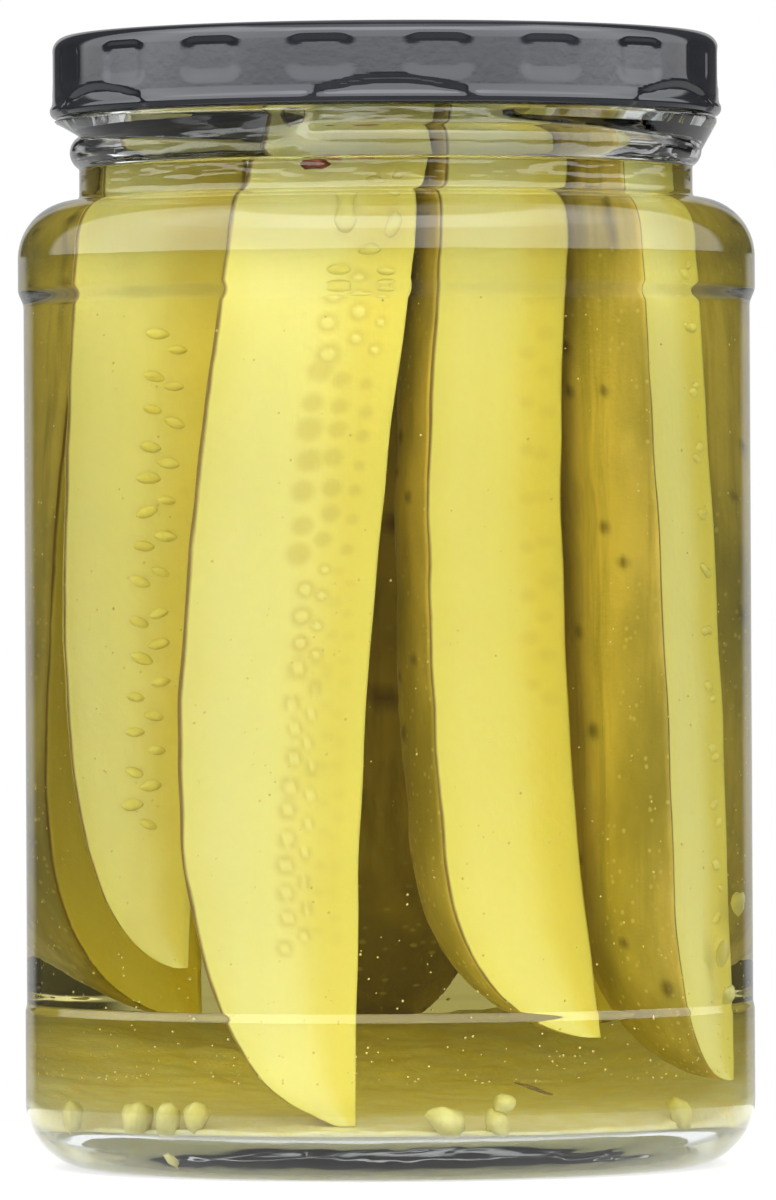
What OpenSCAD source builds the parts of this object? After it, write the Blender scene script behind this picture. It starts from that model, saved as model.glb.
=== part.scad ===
// Glass jar of cucumber spears in brine, shut with a steel twist-off lid.
// Millimetres, +Z up. The origin is the middle of the base, on the surface it stands on.

/* [Jar] */
// Outside diameter of the recessed panel that goes round the body
body_d = 93.6; // [80:0.2:112]
// Height of the glass from the base to the sealing rim
jar_h = 144.7; // [125:0.1:175]
// How far the heel band stands out beyond the panel
heel_band = 0.4; // [0.1:0.1:1.5]
// How far the shoulder band stands out beyond the panel
shoulder_band = 0.7; // [0.1:0.1:1.5]
// Height of the top edge of the heel band
heel_band_top = 20.6; // [14:0.2:30]
// Height of the shoulder band, from the panel to where the shoulder starts to turn in
shoulder_band_h = 4.5; // [2:0.1:9]
// Radius of the heel, between the base and the side
heel_r = 8.5; // [5:0.1:10]
// Radius of the shoulder
shoulder_r = 7.5; // [6:0.1:10]
// Height of the finish, from the top of the shoulder to the sealing rim
finish_h = 20.5; // [18:0.1:30]
// Thickness of the glass wall
wall = 2.6; // [1.8:0.1:4]
// Thickness of the glass base at the edge of its floor
base_t = 5.4; // [3.5:0.1:8]
// Depth of the hollow under the base
push_up = 1.8; // [0.5:0.1:3]
// Diameter of the ring that the jar stands on, at its inner edge
bearing_d = 72; // [50:1:76]

/* [Finish] */
// Outside diameter of the neck
neck_d = 78.9; // [66:0.1:96]
// How far the neck bead stands out beyond the neck
bead_out = 1.2; // [0.5:0.1:2]
// Height of the middle of the neck bead above the shoulder
bead_z = 6.2; // [4:0.1:8]
// Radius of the neck bead's round
bead_r = 2.4; // [1.5:0.1:3]
// Number of glass threads
threads = 3; // [2:1:4]
// How far the threads stand out beyond the neck
thread_out = 3.2; // [1.5:0.1:3.4]
// How far a thread reaches down at its low end
thread_drop = 6.4; // [3:0.1:6.8]
// Angle that one thread covers
thread_sweep = 84; // [40:1:86]
// Direction of the start of the first thread, from +X towards +Y
thread_start = -68; // [-180:1:180]

/* [Lid] */
// How far the lid's skirt stands out beyond the neck
lid_out = 3.45; // [3.4:0.05:6]
// Height of the lid
lid_h = 10.6; // [9:0.1:14]
// Thickness of the lid's sheet steel
sheet = 0.4; // [0.2:0.05:0.8]
// Radius between the lid's skirt and its top
lid_shoulder_r = 2; // [1.2:0.1:3]
// Radius of the rolled curl at the lid's lower edge
curl_r = 1; // [0.7:0.05:1.3]
// Depth of the panel in the middle of the lid's top
panel_depth = 0.9; // [0.4:0.1:1.6]
// Width of the flat ring round that panel
rim_band = 5.4; // [4:0.1:9]
// Diameter of the raised button in the middle of the panel
button_d = 30; // [15:1:45]
// Height of the button
button_h = 0.35; // [0.1:0.05:0.5]
// Number of grip pads pressed into the skirt
pads = 18; // [8:1:24]
// Width of a grip pad
pad_w = 6.5; // [3:0.1:7]
// Height of a grip pad
pad_h = 4.2; // [2:0.1:5]
// Depth of a grip pad
pad_depth = 0.25; // [0.1:0.05:0.4]
// Height of the middle of the pads above the lid's lower edge
pad_z = 6.3; // [5:0.1:7.5]
// Direction of the first pad
pad_start = -81; // [-180:1:180]
// Number of lugs turned in from the curl
lugs = 6; // [3:1:6]
// Width of a lug
lug_w = 11; // [5:0.5:16]
// Clearance between a lug and the neck
lug_gap = 0.3; // [0.1:0.05:0.8]
// Clearance between the rim of the glass and the lid, taken up by the seal
seal_gap = 0.2; // [0.05:0.05:0.6]

/* [Contents] */
// Depth of the surface of the brine below the sealing rim
brine_below_rim = 16.2; // [13:0.1:40]
// Clearance between the brine and the glass
brine_gap = 0.05; // [0.02:0.01:0.3]
// Clearance between the brine and a spear
nest_gap = 0.15; // [0.05:0.05:0.5]
// Least clearance between a spear's tip and the floor of the jar
floor_gap = 0.4; // [0.2:0.1:2]
// Clearance between the spears' upper ends and the underside of the lid
head_gap = 6.2; // [5:0.1:12]
// Radius of the cucumber that the widest spear is cut from
cucumber_r = 23; // [18:0.1:24]
// Angle between the two cut faces of a spear
wedge = 66; // [50:1:68]

/* [Hidden] */
$fn = 96;
eps = 0.01;

// --- Levels and radii of the glass ---
body_r = body_d / 2;
centre_flat_r = 6;
heel_out_r = body_r + heel_band;
band_r = body_r + shoulder_band;
cavity_r = body_r - wall;
neck_r = neck_d / 2;
neck_in_r = neck_r - wall;
shoulder_top = jar_h - finish_h;
band_top = shoulder_top - shoulder_r;
band_bottom = band_top - shoulder_band_h;
cavity_shoulder_r = shoulder_r - 1.3;
cavity_shoulder_top = shoulder_top - wall + 0.2;
cavity_heel_r = heel_r - 1.5;
floor_z = base_t;
brine_level = jar_h - brine_below_rim;
thread_top = jar_h - lid_h + sheet + seal_gap - curl_r * 0.25;
thread_r = neck_r + thread_out;
thread_steps = 12;
thread_start_share = 0.15;

// --- Levels and radii of the lid ---
skirt_r = neck_r + lid_out;
lid_top = jar_h + seal_gap + sheet;
lid_bottom = lid_top - lid_h;
panel_r = skirt_r - lid_shoulder_r - rim_band + 0.4;
curl_out = 0.35;
curl_in_r = skirt_r + curl_out - 2 * curl_r;
lug_t = 1;

// --- Spears ---
// Each spear is cut from a cucumber lengthwise: its edge runs along the core, its two cut faces meet
// there, and the rind closes it. A row gives the core at the upper end, at the tip and how far it bows
// between them, then the height of the tip above the floor, the length of the nose, the rind's radius,
// the direction of the first cut face and how far the upper end stops short of the headspace.
// The rows are laid out for a jar of the size below, and follow its hollow when that is changed.
row_neck_r = 36.85;
row_cavity_r = 44.2;
row_jar_h = 144.7;
fit = min(neck_in_r / row_neck_r, cavity_r / row_cavity_r);
lean = min(1, jar_h / row_jar_h);
spear_top = lid_top - panel_depth - sheet - head_gap;
FRONT = [[6.5, -29.3], [-4, -33.6], [-2.9, -2.6], floor_gap, 60, cucumber_r, 174, 0];
LEFT = [[-14.4, -12.4], [-22.4, -19.6], [-0.6, -1.9], 20.3, 60, 19.5, 171, 0.5];
CENTRE = [[21.5, -19.6], [23.2, -17.8], [-3.6, 2.4], 11.6, 24, 18.6, 218, 1];
RIGHT = [[30.6, -4.2], [37.6, -4], [0.7, 0.6], 5.1, 26, 18.4, 260, 0.2];
REAR_LEFT = [[-11, 13.4], [-16, 18], [-1.4, 1], 13, 40, 18.4, 206, 0.8];
REAR_RIGHT = [[12, 13.4], [15, 17.5], [1.8, 1], 12, 34, 18.1, 34, 1.2];
REAR = [[0.5, 33], [-1, 36.5], [0.4, 1.5], 11, 48, 18.8, 304, 1.5];
SPEARS = [FRONT, LEFT, CENTRE, RIGHT, REAR_LEFT, REAR_RIGHT, REAR];

nose_rings = 6;
shaft_rings = 5;
rind_steps = 6;
nose_power = 2.5;
tip_share = 0.006;
shrink_top = 0.08;

// Height of ring i above the tip: close together on the rounded nose, evenly spaced above it
function ring_rise(i, nose, length) =
    i <= nose_rings ? nose * max(tip_share, 1 - cos(90 * i / nose_rings))
                    : nose + (length - nose) * (i - nose_rings) / shaft_rings;
// Radius of the rind at a height above the tip
function rind_radius(rise, nose, length, r) =
    rise < nose ? r * sqrt(1 - pow(1 - rise / nose, nose_power))
                : r * (1 - shrink_top * pow((rise - nose) / (length - nose), 2));
// Place of the core at a share of the length, from the tip to the upper end
function core_at(s, share) =
    fit * (s[0] + lean * (1 - share) * (s[1] - s[0] + s[2] * 4 * share));
function unit(a) = [cos(a), sin(a)];

// One level section: the core's edge, then the points along the rind, all moved out by grow
function ring_points(s, core, r, z, grow) =
    let (middle = s[6] - wedge / 2,
         swing = wedge / 2 + asin(grow / (r + grow + eps)),
         edge = core - unit(middle) * grow / sin(wedge / 2))
    concat([[edge[0], edge[1], z]],
           [for (k = [0 : rind_steps])
                let (p = core + unit(middle - swing + 2 * swing * k / rind_steps) * (r + grow))
                [p[0], p[1], z]]);

module spear(s, grow = 0) {
    tip_z = floor_z + s[3];
    length = spear_top - s[7] - tip_z;
    nose = s[4] * lean;
    r = s[5] * fit;
    last = nose_rings + shaft_rings;
    n = rind_steps + 2;
    points = [for (i = [0 : last])
        let (rise = ring_rise(i, nose, length),
             z = tip_z + rise + (i == 0 ? -grow : i == last ? grow : 0))
        each ring_points(s, core_at(s, rise / length), rind_radius(rise, nose, length, r), z, grow)];
    sides = [for (i = [0 : last - 1], k = [0 : n - 1])
        [i * n + k, (i + 1) * n + k, (i + 1) * n + (k + 1) % n, i * n + (k + 1) % n]];
    ends = [[for (k = [0 : n - 1]) k], [for (k = [n - 1 : -1 : 0]) last * n + k]];
    polyhedron(points, concat(sides, ends));
}

// --- Glass ---
// Outline of the glass without its hollow
module glass_outline() {
    translate([heel_out_r - heel_r, heel_r]) circle(heel_r);
    square([heel_out_r - heel_r, heel_band_top]);
    translate([0, heel_r])
        polygon([[0, 0], [heel_out_r, 0], [heel_out_r, heel_band_top - heel_r - heel_band],
                 [body_r, heel_band_top - heel_r], [0, heel_band_top - heel_r]]);
    translate([0, heel_r]) square([body_r, band_bottom - heel_r]);
    polygon([[0, band_bottom - shoulder_band], [body_r, band_bottom - shoulder_band],
             [band_r, band_bottom], [band_r, band_top], [0, band_top]]);
    translate([band_r - shoulder_r, band_top]) circle(shoulder_r);
    square([band_r - shoulder_r, shoulder_top]);
    square([neck_r, jar_h - wall / 2]);
    translate([neck_r + bead_out - bead_r, shoulder_top + bead_z]) circle(bead_r);
    translate([neck_r - wall / 2, jar_h - wall / 2]) circle(wall / 2);
}

// Outline of the hollow, or of what fills it, drawn in by gap and cut off at a height
module cavity_outline(gap, top) {
    r = cavity_r - gap;
    floor_level = floor_z + gap;
    rise = cavity_heel_r - gap;
    turn = cavity_shoulder_r - gap;
    turn_z = cavity_shoulder_top - cavity_shoulder_r;
    intersection() {
        union() {
            translate([r - rise, floor_level + rise]) circle(rise);
            translate([0, floor_level]) square([r - rise, turn_z - floor_level]);
            translate([0, floor_level + rise]) square([r, turn_z - floor_level - rise]);
            translate([r - turn, turn_z]) circle(turn);
            square_from(floor_level, [r - turn, turn_z + turn]);
            square_from(floor_level, [neck_in_r - gap, jar_h + eps]);
        }
        square([body_d, top]);
    }
}

// A rectangle from the axis out to corner, whose lower side is at height low
module square_from(low, corner) {
    translate([0, low]) square([corner[0], corner[1] - low]);
}

// The hollow under the base, a shallow cap of a large sphere
module push_up_outline() {
    half = bearing_d / 2;
    r = (half * half + push_up * push_up) / (2 * push_up);
    intersection() {
        translate([0, push_up - r]) circle(r, $fn = 720);
        translate([0, -1]) square([half, push_up + 2]);
    }
    square([centre_flat_r, push_up]);
}

// A glass thread, which reaches lower and lower from its start to its end
module thread_ramp() {
    root_r = neck_r - wall / 2;
    points = [for (i = [0 : thread_steps])
        let (a = thread_sweep * i / thread_steps,
             drop = thread_drop * (thread_start_share + (1 - thread_start_share) * i / thread_steps),
             section = [[root_r, thread_top], [thread_r, thread_top], [thread_r, thread_top - 0.1 * drop],
                        [neck_r + 0.2 * thread_out, thread_top - 0.93 * drop],
                        [root_r, thread_top - drop]])
        each [for (p = section) [p[0] * cos(a), p[0] * sin(a), p[1]]]];
    n = 5;
    sides = [for (i = [0 : thread_steps - 1], k = [0 : n - 1])
        [i * n + k, (i + 1) * n + k, (i + 1) * n + (k + 1) % n, i * n + (k + 1) % n]];
    ends = [[for (k = [0 : n - 1]) k], [for (k = [n - 1 : -1 : 0]) thread_steps * n + k]];
    polyhedron(points, concat(sides, ends));
}

module jar() {
    color([0.86, 0.93, 0.9, 0.35]) {
        rotate_extrude()
            difference() {
                glass_outline();
                cavity_outline(0, jar_h + wall);
                push_up_outline();
                translate([-body_d, -1]) square([body_d, jar_h + wall]);
            }
        for (i = [0 : threads - 1])
            rotate([0, 0, thread_start + i * 360 / threads]) thread_ramp();
    }
}

// --- Lid ---
// Outline of the lid, or of the space under it when drawn in by the sheet's thickness
module lid_outline(inset) {
    r = skirt_r - inset;
    top = lid_top - inset;
    round_r = lid_shoulder_r - inset;
    button_r = button_d / 2 - inset;
    ring_r = panel_r + inset;
    difference() {
        union() {
            translate([r - round_r, top - round_r]) circle(round_r);
            square_from(lid_bottom, [r - round_r, top]);
            square_from(lid_bottom, [r, top - round_r]);
        }
        polygon([[button_r, top - panel_depth + button_h], [button_r + button_h, top - panel_depth],
                 [ring_r - panel_depth, top - panel_depth], [ring_r, top + eps],
                 [0, top + eps], [0, top - panel_depth + button_h]]);
    }
}

// The sheet where a pad is pressed in, drawn in by inset
module pad_sector(inset, spare) {
    sweep = 2 * asin((pad_w / 2 + spare) / skirt_r);
    rotate([0, 0, -sweep / 2])
        rotate_extrude(angle = sweep)
            translate([skirt_r - pad_depth - inset, lid_bottom + pad_z - pad_h / 2 - spare])
                square([inset == 0 ? pad_depth + 1 : sheet, pad_h + 2 * spare]);
}

module lid() {
    curl_z = lid_bottom + curl_r;
    lug_sweep = 2 * asin(lug_w / 2 / skirt_r);
    color([0.13, 0.13, 0.15]) {
        difference() {
            rotate_extrude() {
                difference() {
                    lid_outline(0);
                    lid_outline(sheet);
                    square_from(lid_bottom - 1, [skirt_r - sheet, curl_z]);
                }
                difference() {
                    translate([skirt_r + curl_out - curl_r, curl_z]) circle(curl_r);
                    translate([skirt_r + curl_out - curl_r, curl_z]) circle(curl_r - sheet);
                }
            }
            for (i = [0 : pads - 1]) rotate([0, 0, pad_start + i * 360 / pads]) pad_sector(0, 0);
        }
        for (i = [0 : pads - 1])
            rotate([0, 0, pad_start + i * 360 / pads]) pad_sector(sheet, sheet);
        for (i = [0 : lugs - 1])
            rotate([0, 0, -90 + i * 360 / lugs - lug_sweep / 2])
                rotate_extrude(angle = lug_sweep)
                    translate([neck_r + lug_gap, curl_z - lug_t / 2])
                        square([curl_in_r + sheet / 2 - neck_r - lug_gap, lug_t]);
    }
}

// --- Contents ---
// The brine fills the jar up to its level, cut round the spears that stand in it
module brine() {
    color([0.78, 0.66, 0.25, 0.5])
        difference() {
            rotate_extrude() cavity_outline(brine_gap, brine_level);
            for (s = SPEARS) spear(s, nest_gap);
        }
}

module spear_front() { color([0.87, 0.82, 0.44]) spear(FRONT); }
module spear_left() { color([0.85, 0.8, 0.45]) spear(LEFT); }
module spear_centre() { color([0.86, 0.81, 0.43]) spear(CENTRE); }
module spear_right() { color([0.66, 0.55, 0.24]) spear(RIGHT); }
module spear_rear_left() { color([0.5, 0.42, 0.15]) spear(REAR_LEFT); }
module spear_rear_right() { color([0.5, 0.42, 0.15]) spear(REAR_RIGHT); }
module spear_rear() { color([0.55, 0.48, 0.2]) spear(REAR); }

jar();
lid();
brine();
spear_front();
spear_left();
spear_centre();
spear_right();
spear_rear_left();
spear_rear_right();
spear_rear();
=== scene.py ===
"""A shut glass jar of cucumber spears in brine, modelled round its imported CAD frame.

The jar, the lid, the brine and every spear replace their plain CAD solids. Whole seeds, garlic, pepper
flakes, peel, crumbs and the settled bed are pieces of their own. Shapes are worked out in millimetres, +Z
up, and made metres when a mesh is finished.
"""

import logging
import math
import random
from dataclasses import dataclass, field
from enum import Enum
from typing import Optional, Sequence, Union

import bmesh
import bpy
from mathutils import Matrix, Vector, noise


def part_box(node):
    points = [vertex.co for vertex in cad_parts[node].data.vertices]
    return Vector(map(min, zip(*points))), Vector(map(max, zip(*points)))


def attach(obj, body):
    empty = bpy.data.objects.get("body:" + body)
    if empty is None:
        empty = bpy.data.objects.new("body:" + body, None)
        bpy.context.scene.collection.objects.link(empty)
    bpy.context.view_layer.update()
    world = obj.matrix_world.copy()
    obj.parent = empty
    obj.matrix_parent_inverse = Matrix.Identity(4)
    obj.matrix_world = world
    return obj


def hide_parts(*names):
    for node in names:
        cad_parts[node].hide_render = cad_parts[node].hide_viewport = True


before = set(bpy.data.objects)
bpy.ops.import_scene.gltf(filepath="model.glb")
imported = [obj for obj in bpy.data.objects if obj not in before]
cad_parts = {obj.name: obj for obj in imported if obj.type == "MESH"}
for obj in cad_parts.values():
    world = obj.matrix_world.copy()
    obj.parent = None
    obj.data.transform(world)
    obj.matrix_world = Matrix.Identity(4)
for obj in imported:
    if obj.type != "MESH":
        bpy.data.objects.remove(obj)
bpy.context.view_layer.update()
MM = 0.001
BODY = "root"
log = logging.getLogger("pickle_jar")

Point = tuple[float, float]
Colour = tuple[float, float, float]


# --------------------------------------------------------------------------------------------------
# Shader graph
# --------------------------------------------------------------------------------------------------


class Wire:
    """A value socket of a shader; Python's operators on it add Math nodes."""

    def __init__(self, graph: "Graph", socket: bpy.types.NodeSocket) -> None:
        """Keeps the socket and the graph that it belongs to."""
        self.graph = graph
        self.socket = socket

    def maths(self, operation: str, *values: "Number") -> "Wire":
        """Adds one Math node.

        Args:
            operation: The Math node's operation.
            values: Its inputs, in order.
        Returns:
            The result.
        """
        node = self.graph.node("ShaderNodeMath", {"operation": operation}, dict(enumerate(values)))
        return Wire(self.graph, node.outputs[0])

    def __add__(self, other: "Number") -> "Wire":
        """self + other."""
        return self.maths("ADD", self, other)

    def __radd__(self, other: "Number") -> "Wire":
        """other + self."""
        return self.maths("ADD", other, self)

    def __sub__(self, other: "Number") -> "Wire":
        """self - other."""
        return self.maths("SUBTRACT", self, other)

    def __rsub__(self, other: "Number") -> "Wire":
        """other - self."""
        return self.maths("SUBTRACT", other, self)

    def __mul__(self, other: "Number") -> "Wire":
        """self * other."""
        return self.maths("MULTIPLY", self, other)

    def __rmul__(self, other: "Number") -> "Wire":
        """other * self."""
        return self.maths("MULTIPLY", other, self)

    def __truediv__(self, other: "Number") -> "Wire":
        """self / other."""
        return self.maths("DIVIDE", self, other)

    def __rtruediv__(self, other: "Number") -> "Wire":
        """other / self."""
        return self.maths("DIVIDE", other, self)

    def __pow__(self, power: "Number") -> "Wire":
        """self to a power."""
        return self.maths("POWER", self, power)

    def __neg__(self) -> "Wire":
        """The value with its sign turned over."""
        return self.maths("MULTIPLY", self, -1.0)

    def step(self, low: float, high: float) -> "Wire":
        """A smooth step.

        Args:
            low: The value where the step starts, at 0.
            high: The value where it ends, at 1; it may be under low.
        Returns:
            0 to 1.
        """
        node = self.graph.node(
            "ShaderNodeMapRange",
            {"interpolation_type": "SMOOTHSTEP"},
            {"Value": self, "From Min": low, "From Max": high},
        )
        return Wire(self.graph, node.outputs["Result"])


Number = Union[float, Wire]
Input = Union[float, Sequence[float], Wire, bpy.types.NodeSocket]


class Graph:
    """The node tree of a material or a world, built one node at a time."""

    def __init__(self, owner: Union[bpy.types.Material, bpy.types.World]) -> None:
        """Empties the owner's tree.

        Args:
            owner: The material or the world.
        """
        owner.use_nodes = True
        self.tree = owner.node_tree
        self.tree.nodes.clear()

    def node(self, kind: str, settings: dict, inputs: dict) -> bpy.types.Node:
        """Adds a node.

        Args:
            kind: The node's type.
            settings: Its own settings, which are set first.
            inputs: Values or links of its sockets, by name or by number.
        Returns:
            The node.
        """
        made = self.tree.nodes.new(kind)
        for name, value in settings.items():
            setattr(made, name, value)
        for name, value in inputs.items():
            self.feed(made.inputs[name], value)
        return made

    def feed(self, socket: bpy.types.NodeSocket, value: Input) -> None:
        """Sets or links one input socket.

        Args:
            socket: The input.
            value: A number, a colour, a vector, a Wire or an output socket.
        """
        if isinstance(value, Wire):
            value = value.socket
        if isinstance(value, bpy.types.NodeSocket):
            self.tree.links.new(value, socket)
        elif isinstance(value, (tuple, list)) and socket.type == "RGBA":
            socket.default_value = (*value[:3], 1.0)
        else:
            socket.default_value = value

    def attribute(self, name: str) -> Wire:
        """A float attribute of the piece's mesh, by name."""
        return Wire(self, self.node("ShaderNodeAttribute", {"attribute_name": name}, {}).outputs["Fac"])

    def place(self) -> bpy.types.NodeSocket:
        """Object coordinates, which are the row frame in metres."""
        return self.node("ShaderNodeTexCoord", {}, {}).outputs["Object"]

    def stretched(self, vector: bpy.types.NodeSocket, scale: Sequence[float]) -> bpy.types.NodeSocket:
        """A vector scaled along its axes by a Mapping node."""
        return self.node("ShaderNodeMapping", {}, {"Vector": vector, "Scale": tuple(scale)}).outputs[0]

    def noise(self, vector: bpy.types.NodeSocket, scale: float, detail: float = 3.0,
              roughness: float = 0.5, distortion: float = 0.0) -> Wire:
        """Noise on a vector.

        Args:
            vector: Where it is read.
            scale: How fine it is.
            detail: How many octaves it has.
            roughness: The share of the fine octaves.
            distortion: How far it is swirled.
        Returns:
            About 0 to 1.
        """
        values = {"Vector": vector, "Scale": scale, "Detail": detail, "Roughness": roughness,
                  "Distortion": distortion}
        return Wire(self, self.node("ShaderNodeTexNoise", {}, values).outputs[0])

    def cells(self, vector: bpy.types.NodeSocket, scale: float, randomness: float = 1.0) -> Wire:
        """The distance to the nearest of scattered points.

        Args:
            vector: Where it is read.
            scale: How close the points are.
            randomness: How uneven their places are.
        Returns:
            0 at a point.
        """
        values = {"Vector": vector, "Scale": scale, "Randomness": randomness}
        return Wire(self, self.node("ShaderNodeTexVoronoi", {}, values).outputs["Distance"])

    def mix(self, share: Number, first: Input, second: Input) -> bpy.types.NodeSocket:
        """Mixes two colours.

        Args:
            share: How much of the second there is.
            first: The colour at 0.
            second: The colour at 1.
        Returns:
            The colour.
        """
        made = self.node("ShaderNodeMix", {"data_type": "RGBA"}, {0: share, 6: first, 7: second})
        return made.outputs[2]

    def bump(self, height: Wire, depth_mm: float, strength: float = 1.0) -> bpy.types.NodeSocket:
        """Relief that a height from 0 to 1 gives to the shading.

        Args:
            height: The relief.
            depth_mm: What a height of 1 stands for.
            strength: The share of it that shows.
        Returns:
            The bumped normal.
        """
        values = {"Strength": strength, "Distance": depth_mm * MM, "Height": height}
        return self.node("ShaderNodeBump", {}, values).outputs[0]

    def finish(self, surface: bpy.types.NodeSocket,
               volume: Optional[bpy.types.NodeSocket] = None) -> None:
        """Joins the tree to its output.

        Args:
            surface: The shader of the surface or of the world.
            volume: The shader of what is inside.
        """
        kind = "ShaderNodeOutputWorld" if isinstance(self.tree.id_data, bpy.types.World) else ""
        output = self.tree.nodes.new(kind or "ShaderNodeOutputMaterial")
        self.tree.links.new(surface, output.inputs["Surface"])
        if volume is not None:
            self.tree.links.new(volume, output.inputs["Volume"])


# --------------------------------------------------------------------------------------------------
# Finishes
# --------------------------------------------------------------------------------------------------


@dataclass(frozen=True)
class Finish:
    """A finish that is made into a material once."""

    name: str

    def material(self) -> bpy.types.Material:
        """Finds the material of this finish, or makes it the first time.

        Returns:
            The material.
        """
        found = bpy.data.materials.get(self.name)
        if found is None:
            found = bpy.data.materials.new(self.name)
            self.build(Graph(found))
        return found

    def build(self, graph: Graph) -> None:
        """Fills the material's graph; each kind of finish has its own way."""
        raise NotImplementedError


@dataclass(frozen=True)
class ClearGlass(Finish):
    """Soda-lime container glass with faint waves in its surface."""

    ior: float = 1.5
    tint: Colour = (0.985, 0.995, 0.99)
    wave_depth: float = 0.02
    base_waves: float = 14.0
    neck_waves: float = 6.0
    base_band: Point = (0.006, 0.0035)
    neck_band: Point = (0.1235, 0.1265)

    def build(self, graph: Graph) -> None:
        """Glass whose surface swells a little and has fine flow lines round it.

        Args:
            graph: The material's graph.
        """
        place = graph.place()
        height = Wire(graph, graph.node("ShaderNodeSeparateXYZ", {}, {"Vector": place}).outputs[2])
        swell = graph.noise(graph.stretched(place, (1, 1, 1.6)), 70, 2)
        lines = graph.noise(graph.stretched(place, (1, 1, 14)), 60, 2)
        flow = graph.noise(graph.stretched(place, (1, 1, 4)), 45, 2, 0.5, 0.8)
        flow = flow * height.step(*self.base_band)
        neck = graph.noise(graph.stretched(place, (1, 1, 5)), 90, 2) * height.step(*self.neck_band)
        waves = swell * 0.8 + lines * 0.2 + flow * self.base_waves + neck * self.neck_waves
        normal = graph.bump(waves, self.wave_depth)
        shader = graph.node("ShaderNodeBsdfGlass", {}, {
            "Color": self.tint, "Roughness": 0.0, "IOR": self.ior, "Normal": normal})
        graph.finish(shader.outputs[0])


@dataclass(frozen=True)
class WetGlass(Finish):
    """The glass where brine wets it, which bends light and hardly reflects it."""

    ior: float = 1.5
    wave_depth: float = 0.02

    def build(self, graph: Graph) -> None:
        """Refraction with faint waves and no gloss of its own.

        Args:
            graph: The material's graph.
        """
        waves = graph.noise(graph.stretched(graph.place(), (1, 1, 1.6)), 70, 2)
        shader = graph.node("ShaderNodeBsdfRefraction", {}, {
            "Color": (1.0, 1.0, 1.0), "Roughness": 0.0, "IOR": self.ior,
            "Normal": graph.bump(waves, self.wave_depth)})
        graph.finish(shader.outputs[0])


@dataclass(frozen=True)
class ClearLiquid(Finish):
    """A clear liquid that takes its colour from the depth of it that light crosses."""

    ior: float = 1.34
    absorbed: Colour = (4.2, 5.9, 21.0)
    wet_from: Point = (0.0065, 0.0066)
    wet_to: Point = (0.1285, 0.1284)

    def build(self, graph: Graph) -> None:
        """Smooth refraction outside, with no gloss where it wets the wall, and plain absorption inside.

        Args:
            graph: The material's graph.
        """
        look = {"Color": (1.0, 1.0, 1.0), "Roughness": 0.0, "IOR": self.ior}
        glossy = graph.node("ShaderNodeBsdfGlass", {}, look).outputs[0]
        wet = graph.node("ShaderNodeBsdfRefraction", {}, look).outputs[0]
        height = Wire(graph, graph.node("ShaderNodeSeparateXYZ", {}, {"Vector": graph.place()}).outputs[2])
        side = height.step(*self.wet_from) * height.step(*self.wet_to)
        shader = graph.node("ShaderNodeMixShader", {}, {0: side, 1: glossy, 2: wet})
        density = max(self.absorbed) * 1.05
        kept = tuple(1.0 - a / density for a in self.absorbed)
        inside = graph.node("ShaderNodeVolumeAbsorption", {}, {"Color": kept, "Density": density})
        graph.finish(shader.outputs[0], inside.outputs[0])


@dataclass(frozen=True)
class Lacquer(Finish):
    """Glossy dark lacquer on tinplate."""

    colour: Colour = (0.010, 0.0105, 0.013)

    def build(self, graph: Graph) -> None:
        """A dark coat with orange peel, handling haze and a few fine rubs.

        Args:
            graph: The material's graph.
        """
        place = graph.place()
        peel = graph.noise(place, 900, 3)
        haze = graph.noise(place, 45, 4, 0.6)
        rubs = graph.noise(graph.stretched(place, (1, 1, 22)), 160, 4, 0.7).step(0.62, 0.7)
        base = graph.mix(haze.step(0.45, 0.75) * 0.5, self.colour, (0.02, 0.021, 0.026))
        rough = 0.08 + haze.step(0.4, 0.8) * 0.05 + rubs * 0.06
        shader = graph.node("ShaderNodeBsdfPrincipled", {}, {
            "Base Color": base, "Roughness": rough, "IOR": 1.56, "Specular Tint": (0.93, 0.95, 1.0),
            "Normal": graph.bump(peel, 0.004)})
        graph.finish(shader.outputs[0])


@dataclass(frozen=True)
class Flesh(Finish):
    """Wet pickled cucumber flesh on a cut face, from its core to its rind."""

    core: Colour = (0.88, 0.78, 0.17)
    middle: Colour = (0.94, 0.89, 0.37)
    outer: Colour = (0.90, 0.84, 0.28)
    rind: Colour = (0.20, 0.105, 0.016)
    hollow: Colour = (0.66, 0.55, 0.13)
    seed: Colour = (0.93, 0.86, 0.34)

    def build(self, graph: Graph) -> None:
        """Zones across the face, fibres, seed hollows and a thin dark rind line.

        Args:
            graph: The material's graph.
        """
        across = graph.attribute("across")
        hollow = graph.attribute("hollow")
        seed = graph.attribute("seed")
        place = graph.place()
        cloud = graph.noise(place, 90, 4, 0.55)
        fibre = graph.noise(graph.stretched(place, (1, 1, 0.09)), 420, 4, 0.6)
        grain = graph.noise(place, 900, 2)
        zone = across + (cloud - 0.5) * 0.22
        colour = graph.mix(zone.step(0.12, 0.52), self.core, self.middle)
        colour = graph.mix(zone.step(0.72, 0.98), colour, self.outer)
        colour = graph.mix(fibre.step(0.5, 0.72) * 0.10, colour, self.core)
        colour = graph.mix(hollow * 0.5, colour, self.hollow)
        colour = graph.mix(seed * 0.9, colour, self.seed)
        edge = (across + (fibre - 0.5) * 0.03 + (cloud - 0.5) * 0.03).step(0.966, 0.99)
        colour = graph.mix(edge * 0.92, colour, self.rind)
        height = fibre * 0.35 + grain * 0.2 + cloud * 0.45
        shader = graph.node("ShaderNodeBsdfPrincipled", {}, {
            "Base Color": colour, "Roughness": 0.34 + grain * 0.12, "IOR": 1.4,
            "Subsurface Weight": 0.35, "Subsurface Radius": (1.0, 0.75, 0.25),
            "Subsurface Scale": 0.003, "Normal": graph.bump(height, 0.25)})
        graph.finish(shader.outputs[0])


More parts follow.
